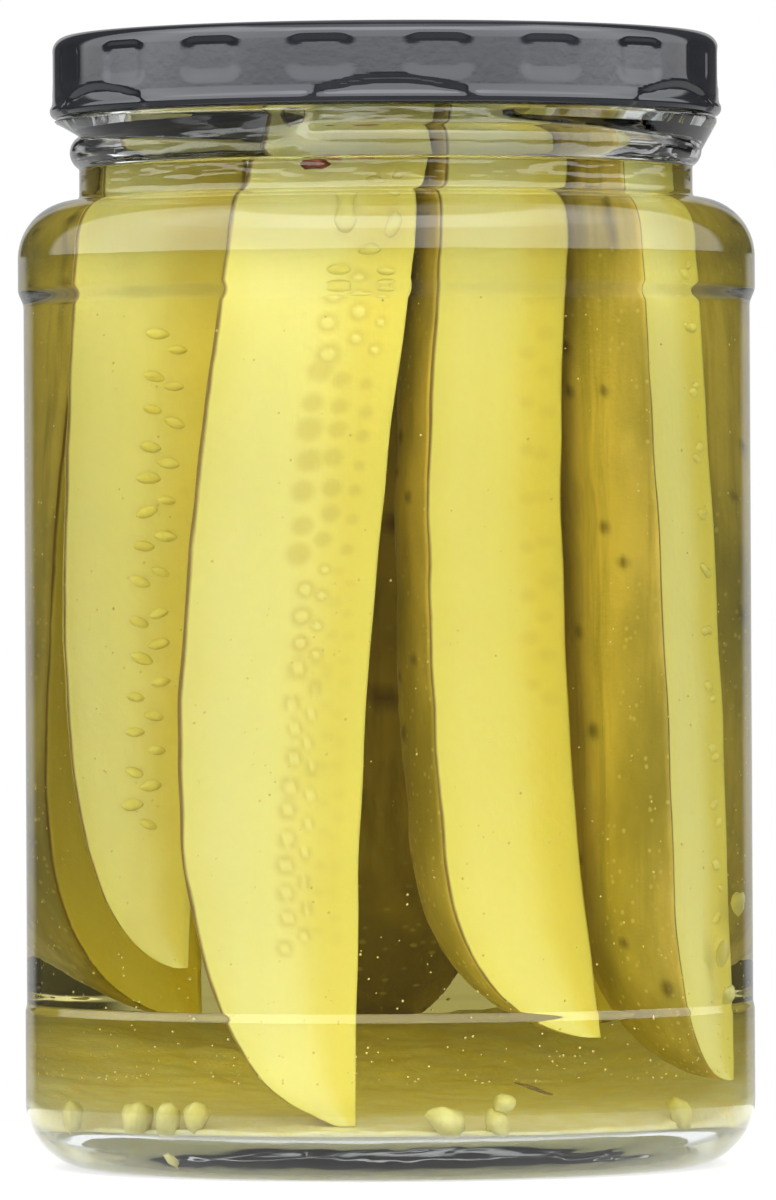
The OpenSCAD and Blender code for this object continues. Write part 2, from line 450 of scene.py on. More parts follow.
@dataclass(frozen=True)
class Rind(Finish):
    """Cucumber rind turned olive and gold by brine."""

    gold: Colour = (0.84, 0.66, 0.14)
    olive: Colour = (0.44, 0.36, 0.055)
    dark: Colour = (0.18, 0.12, 0.02)
    fleck: Colour = (0.95, 0.84, 0.30)

    def build(self, graph: Graph) -> None:
        """Lengthwise streaks, blotches, pale flecks and dark warts.

        Args:
            graph: The material's graph.
        """
        place = graph.place()
        wart = graph.attribute("wart")
        streak = graph.noise(graph.stretched(place, (1, 1, 0.06)), 330, 5, 0.62)
        blotch = graph.noise(graph.stretched(place, (1, 1, 0.5)), 60, 4, 0.55)
        fine = graph.noise(place, 1500, 2)
        colour = graph.mix(blotch.step(0.35, 0.68), self.gold, self.olive)
        colour = graph.mix(streak.step(0.46, 0.7) * 0.75, colour, self.olive)
        flecks = graph.cells(place, 620).step(0.26, 0.1) * blotch.step(0.4, 0.6)
        colour = graph.mix(flecks * 0.5, colour, self.fleck)
        colour = graph.mix(wart * 0.8, colour, self.dark)
        height = streak * 0.5 + fine * 0.2 + blotch * 0.3
        shader = graph.node("ShaderNodeBsdfPrincipled", {}, {
            "Base Color": colour, "Roughness": 0.36 + fine * 0.12, "IOR": 1.4,
            "Subsurface Weight": 0.2, "Subsurface Radius": (1.0, 0.7, 0.2),
            "Subsurface Scale": 0.002, "Normal": graph.bump(height, 0.35)})
        graph.finish(shader.outputs[0])


@dataclass(frozen=True)
class SoftBit(Finish):
    """A small bit of spice, seed or vegetable."""

    light: Colour = (0.85, 0.78, 0.35)
    deep: Colour = (0.62, 0.55, 0.16)
    rough: float = 0.35
    scale: float = 260.0

    def build(self, graph: Graph) -> None:
        """Two tones in soft blotches with a little relief.

        Args:
            graph: The material's graph.
        """
        place = graph.place()
        blotch = graph.noise(place, self.scale, 4, 0.6)
        fine = graph.noise(place, self.scale * 6, 2)
        colour = graph.mix(blotch.step(0.35, 0.65), self.light, self.deep)
        shader = graph.node("ShaderNodeBsdfPrincipled", {}, {
            "Base Color": colour, "Roughness": self.rough + fine * 0.15, "IOR": 1.4,
            "Subsurface Weight": 0.3, "Subsurface Radius": (1.0, 0.8, 0.4),
            "Subsurface Scale": 0.0015, "Normal": graph.bump(blotch * 0.6 + fine * 0.4, 0.15)})
        graph.finish(shader.outputs[0])


@dataclass(frozen=True)
class StudioFloor(Finish):
    """Matt white top of a light table."""

    def build(self, graph: Graph) -> None:
        """Nearly white, with the faintest unevenness.

        Args:
            graph: The material's graph.
        """
        cloud = graph.noise(graph.place(), 6, 3)
        colour = graph.mix(cloud, (0.30, 0.30, 0.30), (0.32, 0.32, 0.32))
        shader = graph.node("ShaderNodeBsdfPrincipled", {}, {
            "Base Color": colour, "Roughness": 0.8, "Specular IOR Level": 0.2,
            "Emission Color": (1.0, 1.0, 1.0), "Emission Strength": 0.66})
        graph.finish(shader.outputs[0])


GLASS = ClearGlass("clear_glass")
WET_GLASS = WetGlass("wet_glass")
BRINE = ClearLiquid("golden_brine")
LACQUER = Lacquer("black_lacquer")
FLESH = Flesh("cucumber_flesh")
RIND = Rind("cucumber_rind")
# A darker copy of the rind for the rear spears: painted shade, for the shadow they stand in behind the
# front spears.
REAR_RIND = Rind("ripe_cucumber_rind", gold=(0.52, 0.42, 0.08), olive=(0.24, 0.20, 0.03),
                 dark=(0.10, 0.07, 0.01), fleck=(0.60, 0.50, 0.16))
SEED = SoftBit("cucumber_seed", (0.95, 0.86, 0.26), (0.88, 0.78, 0.20), 0.3, 400)
GARLIC = SoftBit("chopped_garlic", (0.88, 0.84, 0.36), (0.72, 0.66, 0.20), 0.35, 240)
PEPPER = SoftBit("red_pepper_flake", (0.36, 0.085, 0.018), (0.15, 0.03, 0.008), 0.3, 500)
PALE_FLAKE = SoftBit("pale_pepper_flake", (0.62, 0.30, 0.16), (0.50, 0.20, 0.10), 0.4, 500)
PEEL = SoftBit("garlic_peel", (0.22, 0.15, 0.03), (0.12, 0.08, 0.015), 0.5, 300)
PULP = SoftBit("settled_pulp", (1.0, 0.96, 0.62), (0.96, 0.88, 0.42), 0.5, 320)
CRUMB = SoftBit("spice_crumb", (0.93, 0.80, 0.30), (0.80, 0.62, 0.15), 0.4, 900)


# --------------------------------------------------------------------------------------------------
# Mesh tools
# --------------------------------------------------------------------------------------------------


def arc(centre: Point, radius: float, start: float, end: float, steps: int) -> list[Point]:
    """Points along an arc.

    Args:
        centre: The arc's centre.
        radius: Its radius.
        start: The angle of its first point, in degrees.
        end: The angle of its last point.
        steps: How many stretches it is divided into.
    Returns:
        The points, both ends included.
    """
    angles = [math.radians(start + (end - start) * i / steps) for i in range(steps + 1)]
    return [(centre[0] + radius * math.cos(a), centre[1] + radius * math.sin(a)) for a in angles]


def line(start: Point, end: Point, pitch: float) -> list[Point]:
    """Points along a straight line.

    Args:
        start: Its first point.
        end: Its last point.
        pitch: The most that two points are apart.
    Returns:
        The points, both ends included.
    """
    steps = max(1, math.ceil(math.dist(start, end) / pitch))
    return [(start[0] + (end[0] - start[0]) * i / steps, start[1] + (end[1] - start[1]) * i / steps)
            for i in range(steps + 1)]


def eased(value: float, low: float, high: float) -> float:
    """A smooth step.

    Args:
        value: The value.
        low: Where the step is 0.
        high: Where it is 1.
    Returns:
        0 to 1.
    """
    share = min(1.0, max(0.0, (value - low) / (high - low)))
    return share * share * (3 - 2 * share)


def lathe(outline: Sequence[Point], steps: int) -> bmesh.types.BMesh:
    """A body of revolution about +Z.

    Args:
        outline: Radius and height of each point, in millimetres.
        steps: How many sides it has.
    Returns:
        The closed mesh.
    """
    bm = bmesh.new()
    kept = [p for i, p in enumerate(outline) if i == 0 or math.dist(p, outline[i - 1]) > 1e-4]
    points = [bm.verts.new((r, 0.0, z)) for r, z in kept]
    edges = [bm.edges.new(pair) for pair in zip(points, points[1:])]
    bmesh.ops.spin(bm, geom=points + edges, cent=(0, 0, 0), axis=(0, 0, 1), dvec=(0, 0, 0),
                   angle=2 * math.pi, steps=steps, use_merge=True, use_duplicate=False)
    bmesh.ops.remove_doubles(bm, verts=bm.verts, dist=1e-4)
    return bm


def solid(bm: bmesh.types.BMesh, name: str, finishes: Sequence[Finish]) -> bpy.types.Object:
    """Makes a finished piece of a mesh in millimetres.

    Args:
        bm: The mesh, which is used up.
        name: The piece's name.
        finishes: Its finishes, in the order of its faces' material numbers.
    Returns:
        The object, at the origin.
    """
    bmesh.ops.recalc_face_normals(bm, faces=bm.faces)
    bmesh.ops.scale(bm, vec=(MM, MM, MM), verts=bm.verts)
    for face in bm.faces:
        face.smooth = True
    mesh = bpy.data.meshes.new(name)
    bm.to_mesh(mesh)
    bm.free()
    for finish in finishes:
        mesh.materials.append(finish.material())
    piece = bpy.data.objects.new(name, mesh)
    bpy.context.scene.collection.objects.link(piece)
    return piece


def adopt(piece: bpy.types.Object, slot: str, *nodes: str) -> bpy.types.Object:
    """Fixes a piece to the jar's one body.

    Args:
        piece: The piece.
        slot: The name of a material slot; not used.
        nodes: CAD nodes that it stands for.
    Returns:
        The piece.
    """
    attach(piece, BODY)
    if nodes:
        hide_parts(*nodes)
    log.info("%s: %d faces", piece.name, len(piece.data.polygons))
    return piece


# --------------------------------------------------------------------------------------------------
# Glass, lid and brine
# --------------------------------------------------------------------------------------------------


@dataclass
class Jar:
    """The glass jar and the hollow that its contents fill, in millimetres."""

    outer_r: float = 47.4
    band_step: float = 0.7
    heel_step: float = 0.2
    wall: float = 2.6
    height: float = 144.7
    heel_r: float = 8.5
    heel_band_top: float = 20.6
    shoulder_r: float = 7.5
    shoulder_top: float = 124.2
    band_h: float = 4.5
    base_t: float = 5.4
    push_up: float = 1.8
    bearing_in_r: float = 36.0
    neck_r: float = 39.45
    bead_out: float = 1.2
    bead_r: float = 2.4
    bead_z: float = 130.4
    thread_top: float = 134.4
    thread_out: float = 3.15
    thread_drop: float = 6.4
    thread_sweep: float = 84.0
    thread_start: float = -68.0
    threads: int = 3
    inner_heel_less: float = 1.5
    inner_turn_less: float = 1.3
    inner_side_slack: float = 0.3
    sides: int = 192

    @property
    def panel_r(self) -> float:
        """Outer radius of the recessed panel."""
        return self.outer_r - self.band_step

    @property
    def cavity_r(self) -> float:
        """Inner radius of the body."""
        return self.panel_r - self.wall

    @property
    def neck_in_r(self) -> float:
        """Inner radius of the neck."""
        return self.neck_r - self.wall

    @property
    def inner_heel_r(self) -> float:
        """Radius of the hollow's curve between its floor and its wall."""
        return self.heel_r - self.inner_heel_less

    @property
    def inner_turn_r(self) -> float:
        """Radius of the hollow's curve under the shoulder."""
        return self.shoulder_r - self.inner_turn_less

    @property
    def inner_turn_z(self) -> float:
        """Height at which the hollow starts to curve in under the shoulder."""
        return self.shoulder_top - self.wall + 0.2 - self.inner_turn_r

    def outside(self) -> list[Point]:
        """The outline from the middle of the base, out and up to the rim.

        Returns:
            Radius and height of its points.
        """
        heel_out = self.panel_r + self.heel_step
        heel_top = self.heel_band_top
        lip = self.wall / 2
        band_top = self.shoulder_top - self.shoulder_r
        band_low = band_top - self.band_h
        half = self.bearing_in_r
        points = [(half * i / 12, self.push_up * (1 - (i / 12) ** 2)) for i in range(13)]
        points += [(half + 0.6, 0.0), (heel_out - self.heel_r - 0.4, 0.0)]
        points += arc((heel_out - self.heel_r, self.heel_r), self.heel_r, -88, 0, 20)
        points += self.held((heel_out, self.heel_r), (heel_out, heel_top - 0.7))
        points += self.stepped((heel_out, heel_top - 0.6), (self.panel_r, heel_top + 0.6))
        points += self.held((self.panel_r, heel_top + 0.7), (self.panel_r, band_low - 1.9))
        points += self.stepped((self.panel_r, band_low - 1.8), (self.outer_r, band_low + 0.6))
        points += self.held((self.outer_r, band_low + 0.7), (self.outer_r, band_top))
        points += arc((self.outer_r - self.shoulder_r, band_top), self.shoulder_r, 2, 86, 20)
        points += [(self.neck_r + 0.25, self.shoulder_top + 0.12),
                   (self.neck_r + 0.04, self.shoulder_top + 0.5)]
        points += line((self.neck_r, self.shoulder_top + 0.9), (self.neck_r, self.bead_z - 2.3), 0.35)
        bead = (self.neck_r + self.bead_out - self.bead_r, self.bead_z)
        points += arc(bead, self.bead_r, -58, 58, 14)
        points += line((self.neck_r, self.bead_z + 2.3), (self.neck_r, self.thread_top), 0.3)
        points += line((self.neck_r, self.thread_top + 0.02), (self.neck_r, self.height - lip), 1.5)
        return points + arc((self.neck_r - lip, self.height - lip), lip, 10, 90, 6)

    @staticmethod
    def stepped(low: Point, high: Point, steps: int = 10) -> list[Point]:
        """A soft step in the wall from one radius to another.

        Args:
            low: Radius and height at its lower end.
            high: Radius and height at its upper end.
            steps: How many stretches it has.
        Returns:
            Its points.
        """
        return [(low[0] + (high[0] - low[0]) * eased(i, 0, steps), low[1] + (high[1] - low[1]) * i / steps)
                for i in range(steps + 1)]

    @staticmethod
    def held(low: Point, high: Point) -> list[Point]:
        """A straight stretch with a support loop at both ends, so that its shading stays flat.

        Args:
            low: Its lower end.
            high: Its upper end.
        Returns:
            Its points.
        """
        inner = [(low[0], low[1] + 0.25), (high[0], high[1] - 0.25)]
        return [low] + line(inner[0], inner[1], 6) + [high]

    def hollow(self, top: float, spare: float) -> list[Point]:
        """The outline of the hollow, from a height down to the middle of its floor.

        Args:
            top: The height that it starts at.
            spare: How far it is moved out, into the glass.
        Returns:
            Its points.
        """
        heel, floor = self.inner_heel_r, self.base_t
        turn, turn_z = self.inner_turn_r, self.inner_turn_z
        wall_r = self.cavity_r + spare
        points = line((self.neck_in_r + spare, top), (self.neck_in_r + spare, turn_z + turn + 0.7), 1.0)
        points += [(self.neck_in_r + 0.3 + spare, turn_z + turn + 0.15)]
        points += arc((self.cavity_r - turn, turn_z), turn + spare, 88, 0, 14)
        points += line((wall_r, turn_z - 0.3), (wall_r, floor + heel + 0.3), 6)
        points += arc((self.cavity_r - heel, floor + heel), heel + spare, 0, -90, 14)
        return points + line((self.cavity_r - heel - 1, floor - spare), (0.0, floor - spare), 4)

    def thread_radius(self, angle: float, z: float) -> float:
        """How far out the threads reach at one place.

        Args:
            angle: The direction from +X, in degrees.
            z: The height.
        Returns:
            A radius, the neck's own where no thread is.
        """
        pitch = 360 / self.threads
        turned = (angle - self.thread_start) % pitch
        ends = eased(turned, -0.01, 2.5) * (1 - eased(turned, self.thread_sweep - 2.5, self.thread_sweep))
        if ends <= 0 or z > self.thread_top + 0.01:
            return self.neck_r
        drop = self.thread_drop * (0.15 + 0.85 * min(1.0, turned / self.thread_sweep))
        depth = (self.thread_top - z) / drop
        if depth > 1:
            return self.neck_r
        reach = 1.0 if depth < 0.1 else 1.0 - 0.8 * (depth - 0.1) / 0.83
        if depth > 0.93:
            reach = 0.2 * (1 - depth) / 0.07
        return self.neck_r + self.thread_out * reach * ends

    def make_glass(self, wet_top: float) -> bpy.types.Object:
        """Spins the glass and draws its threads out of the neck.

        Args:
            wet_top: Height up to which brine wets it.
        Returns:
            The glass piece.
        """
        rim = arc((self.neck_r - self.wall / 2, self.height - self.wall / 2), self.wall / 2, 100, 170, 5)
        inside = self.hollow(self.height - self.wall / 2, 0.0)
        bm = lathe(self.outside() + rim + inside, self.sides)
        low = self.shoulder_top + 1.5
        for v in bm.verts:
            r = math.hypot(v.co.x, v.co.y)
            if low < v.co.z < self.thread_top + 0.01 and r > self.neck_r - 0.2:
                angle = math.degrees(math.atan2(v.co.y, v.co.x))
                scale = max(r, self.thread_radius(angle, v.co.z)) / r
                v.co.x *= scale
                v.co.y *= scale
        for face in bm.faces:
            middle = face.calc_center_median()
            if self.base_t + 1.2 < middle.z < wet_top and self.is_inner(middle):
                face.material_index = 1
        return adopt(solid(bm, "jar_glass", [GLASS, WET_GLASS]), "glass", "jar")

    def is_inner(self, place: Vector) -> bool:
        """Whether a place on the glass is on its inner side.

        Args:
            place: The middle of a face.
        Returns:
            Yes or no.
        """
        out = math.hypot(place.x, place.y)
        if out >= self.cavity_r + self.inner_side_slack:
            return False
        if place.z < self.heel_r:
            heel = math.hypot(out - self.panel_r + self.heel_r, place.z - self.heel_r)
            return heel < self.heel_r - 0.9
        if place.z < self.inner_turn_z:
            return True
        if place.z > self.shoulder_top:
            return out < self.neck_in_r + self.inner_side_slack
        beside = max(0.0, out - (self.cavity_r - self.inner_turn_r))
        return math.hypot(beside, place.z - self.inner_turn_z) < self.inner_turn_r + 0.5


@dataclass
class Brine:
    """The brine, which reaches a hair into the glass so that no air shows between them."""

    jar: Jar
    level: float = 128.5
    meniscus: float = 0.9
    into_glass: float = 0.06

    def make(self) -> bpy.types.Object:
        """Spins the brine.

        Returns:
            The brine piece.
        """
        wall_r = self.jar.neck_in_r + self.into_glass
        centre = (wall_r - self.meniscus, self.level + self.meniscus)
        top = line((0.0, self.level), (wall_r - self.meniscus - 1, self.level), 3)
        top += arc(centre, self.meniscus, -90, -4, 6)
        outline = top + self.jar.hollow(self.level + self.meniscus, self.into_glass)
        return adopt(solid(lathe(outline, self.jar.sides), "brine_body", [BRINE]), "brine", "brine")


@dataclass
class Lid:
    """The twist-off lid, in millimetres."""

    skirt_r: float = 42.85
    top: float = 145.3
    height: float = 10.6
    sheet: float = 0.4
    shoulder_r: float = 2.0
    curl_r: float = 1.0
    curl_out: float = 0.35
    panel_r: float = 35.9
    panel_depth: float = 0.9
    button_r: float = 15.0
    button_h: float = 0.35
    pads: int = 18
    pad_start: float = -81.0
    pad_w: float = 6.9
    pad_h: float = 4.8
    pad_z: float = 141.0
    pad_depth: float = 0.22
    pad_soft: float = 1.2
    lugs: int = 6
    lug_start: float = -89.0
    lug_w: float = 22.0
    lug_rise: float = 2.3
    lug_depth: float = 0.45
    sides: int = 540

    @property
    def bottom(self) -> float:
        """Height of the lid's lower edge."""
        return self.top - self.height

    def outline(self) -> list[Point]:
        """The outline of the lid, from the middle of its top round the curl and back underneath.

        Returns:
            Radius and height of its points.
        """
        top, depth, t = self.top, self.panel_depth, self.sheet
        low = self.bottom
        points = [(0.0, top - depth + self.button_h), (self.button_r - 0.5, top - depth + self.button_h)]
        points += [(self.button_r, top - depth + self.button_h * 0.7),
                   (self.button_r + 0.5, top - depth + 0.03)]
        points += line((self.button_r + 1, top - depth), (self.panel_r - 1.4, top - depth), 4)
        points += [(self.panel_r - 0.8, top - depth + 0.12), (self.panel_r - 0.2, top - 0.15),
                   (self.panel_r + 0.4, top)]
        bend = (self.skirt_r - self.shoulder_r, top - self.shoulder_r)
        curl_top = low + 2 * self.curl_r
        points += line((self.panel_r + 1, top), (bend[0], top), 1.2)
        points += arc(bend, self.shoulder_r, 84, 0, 12)
        points += line((self.skirt_r, bend[1] - 0.2), (self.skirt_r, curl_top + 0.3), 0.3)
        curl = (self.skirt_r + self.curl_out - self.curl_r, low + self.curl_r)
        points += arc(curl, self.curl_r, 40, -180, 18)
        points += line((self.skirt_r - t, curl_top), (self.skirt_r - t, bend[1]), 0.5)
        points += arc(bend, self.shoulder_r - t, 0, 90, 6)
        points += [(self.panel_r + t, top - t), (self.panel_r - 0.8, top - depth - t)]
        return points + [(self.button_r, top - depth - t), (0.0, top - depth - t)]

    def dent(self, angle: float, z: float) -> float:
        """How far the skirt is pressed in at one place.

        Args:
            angle: The direction from +X, in degrees.
            z: The height.
        Returns:
            Millimetres.
        """
        pitch = 360 / self.pads
        off = abs((angle - self.pad_start + pitch / 2) % pitch - pitch / 2)
        beside = math.radians(off) * self.skirt_r - self.pad_w / 2
        above = abs(z - self.pad_z) - self.pad_h / 2
        corner = 1.1
        outside = math.hypot(max(beside + corner, 0), max(above + corner, 0)) - corner
        pad = self.pad_depth * (1 - eased(outside, -self.pad_soft / 2, self.pad_soft / 2))
        step = 360 / self.lugs
        turned = (angle - self.lug_start + step / 2) % step - step / 2
        along = math.radians(turned) * self.skirt_r / (self.lug_w / 2)
        arch = self.bottom + 1.0 + self.lug_rise * max(0.0, 1 - along * along)
        lug = self.lug_depth * (1 - eased(z, arch - 0.35, arch + 0.35)) if abs(along) < 1 else 0.0
        return pad + lug * eased(1 - abs(along), 0.0, 0.12)

    def make(self) -> bpy.types.Object:
        """Spins the lid and presses its pads and lug dents into the skirt.

        Returns:
            The lid piece.
        """
        bm = lathe(self.outline(), self.sides)
        for v in bm.verts:
            r = math.hypot(v.co.x, v.co.y)
            if r > self.skirt_r - 2.5 and v.co.z < self.top - 0.3:
                scale = 1 - self.dent(math.degrees(math.atan2(v.co.y, v.co.x)), v.co.z) / r
                v.co.x *= scale
                v.co.y *= scale
        return adopt(solid(bm, "lid_shell", [LACQUER]), "lid_steel", "lid")


# --------------------------------------------------------------------------------------------------
# Spears
# --------------------------------------------------------------------------------------------------


class SeedLook(Enum):
    """How the seeds of one column show on a cut face."""

    HOLLOW = "a soft dark hollow"
    TIPPED = "a soft dark hollow round a pale tip"
    FAINT = "a shallow mark"
    WHOLE = "a whole seed that lies across the face"


@dataclass(frozen=True)
class SeedColumn:
    """A column of seeds up a cut face: its distance from the core, half a hollow, its ends and pitch."""

    look: SeedLook
    out: float
    half: float
    low: float
    high: float
    pitch: float


@dataclass(frozen=True)
class Seed:
    """One seed hollow on a cut face, in millimetres from the core and above the base.

    The seed's pale tip fills a share of the hollow, and the hollow is darkened by its depth. A whole seed
    lies on the face as a lump of its own, turned a little.
    """

    out: float
    z: float
    half_out: float
    half_up: float
    tip: float
    depth: float
    whole: bool = False
    turn: float = 0.0


@dataclass
class Spear:
    """A spear cut lengthwise from a cucumber, in millimetres and degrees."""

    node: str
    core_top: Point
    core_tip: Point
    bow: Point
    nose: float
    radius: float
    face_angle: float
    columns: tuple[SeedColumn, ...] = ()
    murky: float = 0.0
    fine: bool = True
    rind: Finish = RIND
    wedge: float = 66.0
    nose_power: float = 2.5
    taper: float = 0.08
    margin: float = 0.25
    low: float = field(init=False)
    high: float = field(init=False)
    seeds: list[Seed] = field(init=False)

    def __post_init__(self) -> None:
        """Takes the spear's lower and upper end from the frame and places its seeds."""
        low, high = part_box(self.node)
        self.low, self.high = low.z / MM, high.z / MM
        self.seeds = self.scattered()

    @property
    def seed_number(self) -> int:
        """A number for the noise of this spear, which is the same each run."""
        return sum(ord(c) for c in self.node)

    def rise(self, share: float) -> float:
        """Height above the tip, where the mesh is closer together on the nose.

        Args:
            share: The share of the way along the mesh.
        Returns:
            Millimetres.
        """
        nose_share = 0.3
        if share < nose_share:
            return self.nose * max(0.004, 1 - math.cos(math.pi / 2 * share / nose_share))
        length = self.high - self.low
        return self.nose + (length - self.nose) * (share - nose_share) / (1 - nose_share)

    def rind_r(self, z: float) -> float:
        """The radius of the rind.

        Args:
            z: The height.
        Returns:
            Millimetres from the core.
        """
        rise, length = z - self.low, self.high - self.low
        if rise < self.nose:
            return self.radius * math.sqrt(max(0.0, 1 - (1 - rise / self.nose) ** self.nose_power))
        return self.radius * (1 - self.taper * ((rise - self.nose) / (length - self.nose)) ** 2)

    def core(self, z: float) -> Vector:
        """The place of the core's edge.

        Args:
            z: The height.
        Returns:
            The place.
        """
        share = (z - self.low) / (self.high - self.low)
        swing = 4 * share * (1 - share)
        return Vector([self.core_tip[i] + (self.core_top[i] - self.core_tip[i]) * share
                       + self.bow[i] * swing for i in (0, 1)] + [z])

    def ripple(self, a: float, b: float, size: float) -> float:
        """Noise of about -1 to 1 that belongs to this spear."""
        return noise.noise(Vector((a / size, b / size, self.seed_number * 0.37)))

    def scattered(self) -> list[Seed]:
        """Places the seeds of one cut face, column by column.

        Returns:
            The seeds.
        """
        chance = random.Random(self.seed_number)
        made = []
        for column in self.columns:
            z = column.low
            while z < column.high:
                place = (column.out + chance.uniform(-0.35, 0.35), z + chance.uniform(-0.25, 0.25))
                made.append(self.seed_at(chance, place, column))
                z += column.pitch * chance.uniform(0.88, 1.12)
        return made

    def seed_at(self, chance: random.Random, place: Point, column: SeedColumn) -> Seed:
        """One seed of a column.

        Args:
            chance: The spear's own random numbers.
            place: Its distance from the core and its height.
            column: The column.
        Returns:
            The seed.
        """
        half = column.half * chance.uniform(0.88, 1.12)
        turn = chance.uniform(-24, 24)
        if column.look is SeedLook.WHOLE:
            return Seed(*place, half * 1.25, half * 0.7, 0.0, 0.55, True, turn)
        if column.look is SeedLook.TIPPED:
            return Seed(*place, half, half, 0.44, 0.9)
        if column.look is SeedLook.FAINT:
            return Seed(*place, half, half * 0.75, 0.0, 0.4)
        return Seed(*place, half * 1.05, half, 0.0, 0.8)

    def marks(self, seeds: Sequence[Seed], out: float, z: float) -> tuple[float, float]:
        """How much of a hollow and of a seed's tip lies at a place on the cut face.

        Args:
            seeds: The seeds near that height.
            out: The distance from the core.
            z: The height.
        Returns:
            The hollow's and the tip's share.
        """
        hollow = body = 0.0
        for s in seeds:
            reach = math.hypot((out - s.out) / s.half_out, (z - s.z) / s.half_up)
            if reach < 1.3:
                hollow = max(hollow, s.depth * (1 - eased(reach, 0.45, 1.3)))
                if s.tip:
                    body = max(body, 1 - eased(reach / s.tip, 0.75, 1.2))
        return hollow * (1 - body), body

    def make(self) -> bpy.types.Object:
        """Builds the spear of five sheets that meet at their edges.

        Returns:
            The spear piece.
        """
        across, along, round_steps = (66, 330, 26) if self.fine else (18, 110, 18)
        bm = bmesh.new()
        layers = {name: bm.verts.layers.float.new(name) for name in ("across", "hollow", "seed", "wart")}
        self.add_cut_face(bm, layers, across, along, 0, self.seeds)
        self.add_cut_face(bm, layers, across // 3, along, 1, ())
        self.add_rind(bm, layers, round_steps, along)
        for share in (0.0, 1.0):
            self.add_end(bm, layers, across, round_steps, share)
        bmesh.ops.remove_doubles(bm, verts=bm.verts, dist=0.012)
        piece = solid(bm, self.node + "_piece", [FLESH, self.rind])
        return adopt(piece, "pickle", self.node)

    def direction(self, turn: float) -> Vector:
        """The direction from the core, at a share of the way from the first cut face to the second."""
        angle = math.radians(self.face_angle - self.wedge * turn)
        return Vector((math.cos(angle), math.sin(angle), 0.0))

    def point(self, out_share: float, z: float, turn: float) -> Vector:
        """A place in the spear.

        Args:
            out_share: 0 at the core, 1 at the rind.
            z: The height.
            turn: 0 at the first cut face, 1 at the second.
        Returns:
            Its place in millimetres.
        """
        edge = self.rind_r(z) - self.margin * (1 + 0.8 * self.ripple(z, turn * 9, 7.0))
        wander = Vector((self.ripple(z, 3.1, 11.0), self.ripple(z, 8.7, 11.0), 0.0)) * 0.22
        return self.core(z) + wander + self.direction(turn) * max(0.05, edge) * out_share

    def sheet(self, bm: bmesh.types.BMesh, columns: int, rows: int) -> list[bmesh.types.BMVert]:
        """A flat grid over the unit square, ready to be moved into place.

        Args:
            bm: The mesh that it is added to.
            columns: Cells along x.
            rows: Cells along y.
        Returns:
            Its corners.
        """
        made = bmesh.ops.create_grid(bm, x_segments=columns, y_segments=rows, size=0.5)["verts"]
        bmesh.ops.translate(bm, verts=made, vec=(0.5, 0.5, 0.0))
        return made

    def add_cut_face(self, bm: bmesh.types.BMesh, layers: dict, across: int, along: int, side: int,
                     seeds: Sequence[Seed]) -> None:
        """Adds one cut face with its fibres and seed hollows as relief.

        Args:
            bm: The spear's mesh.
            layers: Its attribute layers.
            across: Cells from core to rind.
            along: Cells from tip to top.
            side: 0 for the first cut face, 1 for the second.
            seeds: The seeds that mark it.
        """
        normal = Vector((0, 0, 1)).cross(self.direction(side)) * (1 if side == 0 else -1)
        for v in self.sheet(bm, across, along):
            share, z = v.co.x, self.low + self.rise(v.co.y)
            out = share * self.rind_r(z)
            near = [s for s in seeds if abs(s.z - z) < 4]
            hollow, body = self.marks(near, out, z)
            inner = min(1.0, share * 6) * min(1.0, (1 - share) * 8)
            relief = 0.10 * self.ripple(out, z, 5.0) + 0.03 * self.ripple(out, z, 1.1)
            relief += 0.07 * body - 0.09 * hollow
            cloudy = self.murky * eased(out, 1.0, 3.0) * (1 - eased(out, 6.5, 9.5))
            hollow = max(hollow, cloudy * (1 - body) * (0.8 + 0.4 * self.ripple(out, z, 3.0)))
            v.co = self.point(share, z, float(side)) + normal * relief * inner
            v[layers["across"]] = share
            v[layers["hollow"]] = hollow
            v[layers["seed"]] = body

    def add_rind(self, bm: bmesh.types.BMesh, layers: dict, round_steps: int, along: int) -> None:
        """Adds the rind, with shallow ridges along it and scattered warts.

        Args:
            bm: The spear's mesh.
            layers: Its attribute layers.
            round_steps: Cells from one cut face to the other.
            along: Cells from tip to top.
        """
        chance = random.Random(self.seed_number + 1)
        warts = [(chance.uniform(0.1, 0.9), chance.uniform(self.low + 8, self.high - 4),
                  chance.uniform(0.7, 1.5)) for _ in range(16)]
        before = set(bm.faces)
        for v in self.sheet(bm, round_steps, along):
            turn, z = v.co.x, self.low + self.rise(v.co.y)
            wart = 0.0
            for where, height, size in warts:
                gap = math.hypot((turn - where) * math.radians(self.wedge) * self.radius, z - height)
                wart = max(wart, 1 - eased(gap, size * 0.2, size * 1.3))
            inner = min(1.0, turn * 8) * min(1.0, (1 - turn) * 8)
            ridge = 0.12 * self.ripple(turn * 40, z, 6.0) + 0.06 * self.ripple(turn * 40, z * 0.2, 1.3)
            relief = ridge - 0.12
            v.co = self.point(1.0, z, turn) + self.direction(turn) * (relief + 0.18 * wart) * inner
            v[layers["across"]] = 1.0
            v[layers["wart"]] = wart
        for face in set(bm.faces) - before:
            face.material_index = 1

    def add_end(self, bm: bmesh.types.BMesh, layers: dict, across: int, round_steps: int,
                share: float) -> None:
        """Closes the tip or the upper end.

        Args:
            bm: The spear's mesh.
            layers: Its attribute layers.
            across: Cells from core to rind.
            round_steps: Cells from one cut face to the other.
            share: 0 for the tip, 1 for the upper end.
        """
        z = self.low + self.rise(share)
        for v in self.sheet(bm, across, round_steps):
            out, turn = v.co.x, v.co.y
            v.co = self.point(out, z, turn)
            v[layers["across"]] = out


